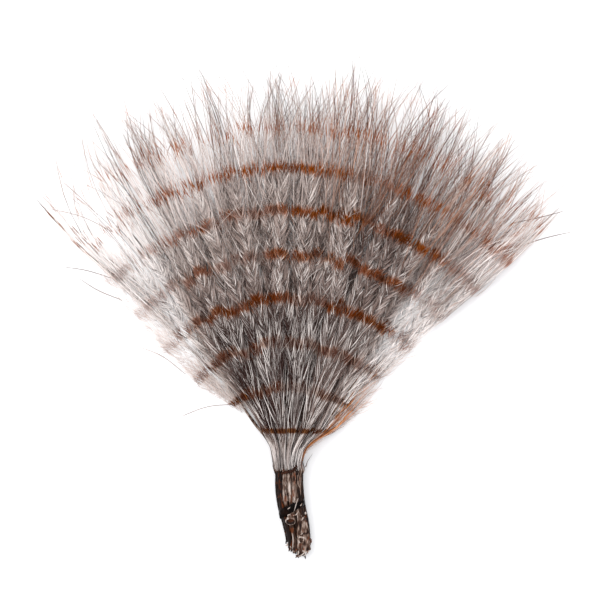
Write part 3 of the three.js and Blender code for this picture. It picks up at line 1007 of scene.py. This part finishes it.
def beaded_line(shape, rng):
    """The scalloped dark rust line where the down of the neck begins."""
    for place in placed_line(BEADED_LINE, BEADED_LINE_HEIGHT, BEADS):
        size = (0.38 + 0.1 * rng.uniform(), 0.36 + 0.26 * rng.uniform(), 0.34)
        bead(shape, place, size, rng.uniform(-2.6, -1.6), rng.uniform(0.0, 0.15), rng)


def placed_splinters_and_glints(shape, lines, height, rng):
    """Pale splinters of quill over the band or the crushed quill, and pale chips there that are painted
    highlights in place of glints.
    """
    count = len(lines)
    placed = np.stack([placed_line(line, height) for line in lines])
    ribbons(shape, placed, rng.uniform(0.22, 0.36, count), rng.normal(0.3, 0.2, count), {
        "tone": rng.uniform(0.5, 0.9, count),
        "rusty": np.zeros(count),
    }, SPLINTER_TAPER)


def dress_quill(feather, material):
    """The quill of one feather, with what lies on it."""
    rng = np.random.default_rng(300 + feather.index)
    shape = Shape()
    tone = QUILL_TONES.get(feather.index, OTHER_QUILL_TONE)
    quill_skin(shape, feather, tone, rng)
    if not feather.is_top(SHORT_QUILL):
        splinters(shape, feather, rng)
    if feather.row == TOP_ROW:
        flakes(shape, feather, tone, rng)
    if feather.is_top(SHORT_QUILL):
        beaded_line(shape, rng)
        placed_splinters_and_glints(shape, BAND_SPLINTERS_AND_GLINTS, BAND_SPLINTER_AND_GLINT_HEIGHT, rng)
    if feather.is_top(CRUSHED_QUILL):
        placed_splinters_and_glints(shape, FLAP_SPLINTERS_AND_GLINTS, FLAP_SPLINTER_AND_GLINT_HEIGHT, rng)
        whorl(shape)
    shape.make(f"{feather.name}_quill", material, feather.name)


def band_material():
    """Hardened binding: black-brown, mottled and glossy."""
    n = Nodes("black_gum")
    mottle = n.noise(300.0, 3.0)
    colour = n.mix(n.between(mottle, 0.45, 0.7), srgb(8, 4, 3), srgb(24, 10, 5))
    n.set(n.shader, "Normal", n.bump(n.noise(900.0, 3.0), 0.5, 0.0002))
    return n.finish(colour, n.between(mottle, 0.3, 0.7, 0.12, 0.3), Specular_IOR_Level=0.04)


def dress_band(material):
    """A lumpy, slanted ring of binding that closes tightly round the quills."""
    rng = np.random.default_rng(500)
    corner = np.linspace(0, 2 * np.pi, 400, endpoint=False)
    x = BAND_HALF_WIDTH * np.sign(np.cos(corner)) * np.abs(np.cos(corner)) ** BAND_SQUARENESS
    rise = BAND_HALF_HEIGHT * np.sign(np.sin(corner)) * np.abs(np.sin(corner)) ** BAND_SQUARENESS
    z = BAND_MIDDLE_HEIGHT + rise
    travelled = np.append(0, np.cumsum(np.hypot(np.diff(x), np.diff(z))))
    at = np.linspace(0, travelled[-1], 120, endpoint=False)
    x, z = np.interp(at, travelled, x)[:, None], np.interp(at, travelled, z)[:, None]
    turn = at[:, None] / travelled[-1] * 2 * np.pi
    outward_x = np.gradient(z[:, 0])[:, None]
    outward_z = -np.gradient(x[:, 0])[:, None]
    steepness = np.hypot(outward_x, outward_z)
    section = np.linspace(0, 2 * np.pi, 22, endpoint=False)[None, :]
    lump = ripple(turn * 5, section * 2, rng, 1.0) + 0.5 * np.sin(9 * turn + 3 * section)
    half_length = 1.3 - 0.09 * x + 0.3 * ripple(turn * 4, 0 * section, rng, 1.0)
    thickness = np.where(np.sin(section) > 0, 0.3 + 0.2 * lump, 0.12)
    lift = thickness * np.sin(section)
    y = BAND_MIDDLE_Y + BAND_SLOPE * x + half_length * np.cos(section)
    rings = np.stack([
        x + stub_x(BAND_MIDDLE_Y + BAND_SLOPE * x) + lift * outward_x / steepness,
        y,
        np.maximum(z + lift * outward_z / steepness, 0.0),
    ], axis=-1)
    shape = Shape()
    tube(shape, rings, {"tone": 0.0}, loop=True)
    shape.make("binding_gum", material, "binding_band")


def dress_feather(feather, material):
    """The down of one feather; the outermost two carry the fluff of the fan's sides."""
    rng = np.random.default_rng(100 + feather.index)
    shape = Shape()
    for order in range(len(LOCK_TURNS)):
        lock = Lock(feather, order)
        barbules(shape, lock, rng)
        rim_wisps(shape, lock, rng)
        ridge_barbs(shape, lock, rng)
    neck_barbs(shape, feather, rng)
    if feather.index == 0:
        side_fluff(shape, feather, -1, rng)
        stray_hairs(shape, LEFT_HAIRS, rng)
    if feather.index == FEATHERS - 1:
        side_fluff(shape, feather, 1, rng)
        ginger_barbs(shape, feather, rng)
        stray_hairs(shape, RIGHT_HAIRS, rng)
    shape.make(f"{feather.name}_down", material, feather.name)


def make_floor():
    """The white table top."""
    bpy.ops.mesh.primitive_plane_add(size=3, location=(0, 0, 0))
    floor = bpy.context.object
    floor.name = "table_top"
    n = Nodes("white_table")
    colour = n.mix(n.between(n.noise(40.0, 3.0), 0.3, 0.7), (0.93, 0.93, 0.94), (0.95, 0.95, 0.955))
    floor.data.materials.append(n.finish(colour, 0.9, Specular_IOR_Level=0.0))


def make_light():
    """A bright even sky and one large soft lamp at the upper left."""
    world = bpy.data.worlds.new("studio")
    bpy.context.scene.world = world
    world.use_nodes = True
    background = world.node_tree.nodes["Background"]
    background.inputs["Color"].default_value = (0.98, 0.985, 1.0, 1)
    background.inputs["Strength"].default_value = SKY_STRENGTH
    data = bpy.data.lights.new("softbox", "AREA")
    data.shape = "DISK"
    data.size = LAMP_SIZE
    data.energy = LAMP_WATTS
    data.color = (1.0, 0.985, 0.97)
    light = bpy.data.objects.new("softbox", data)
    light.location = LAMP_PLACE
    aim = Vector(LAMP_TARGET) - light.location
    light.rotation_euler = aim.to_track_quat("-Z", "Y").to_euler()
    bpy.context.scene.collection.objects.link(light)


def make_camera():
    """Straight above, so that one pixel of the photograph is MM_PER_PIXEL on the fan."""
    data = bpy.data.cameras.new("camera")
    data.sensor_width = 36
    data.lens = 100
    camera = bpy.data.objects.new("camera", data)
    middle = from_photo((PHOTO_SIZE / 2, PHOTO_SIZE / 2))
    fan_middle_height = 5.0
    distance = PHOTO_SIZE * MM_PER_PIXEL * data.lens / data.sensor_width
    camera.location = Vector((*middle, fan_middle_height + distance)) * MM
    bpy.context.scene.collection.objects.link(camera)
    bpy.context.scene.camera = camera


bpy.context.scene.view_settings.view_transform = "Standard"
make_camera()
make_light()
make_floor()
down, horn = down_material(), horn_material()
for index in range(FEATHERS):
    dress_feather(Feather(index), down)
    dress_quill(Feather(index), horn)
dress_band(band_material())
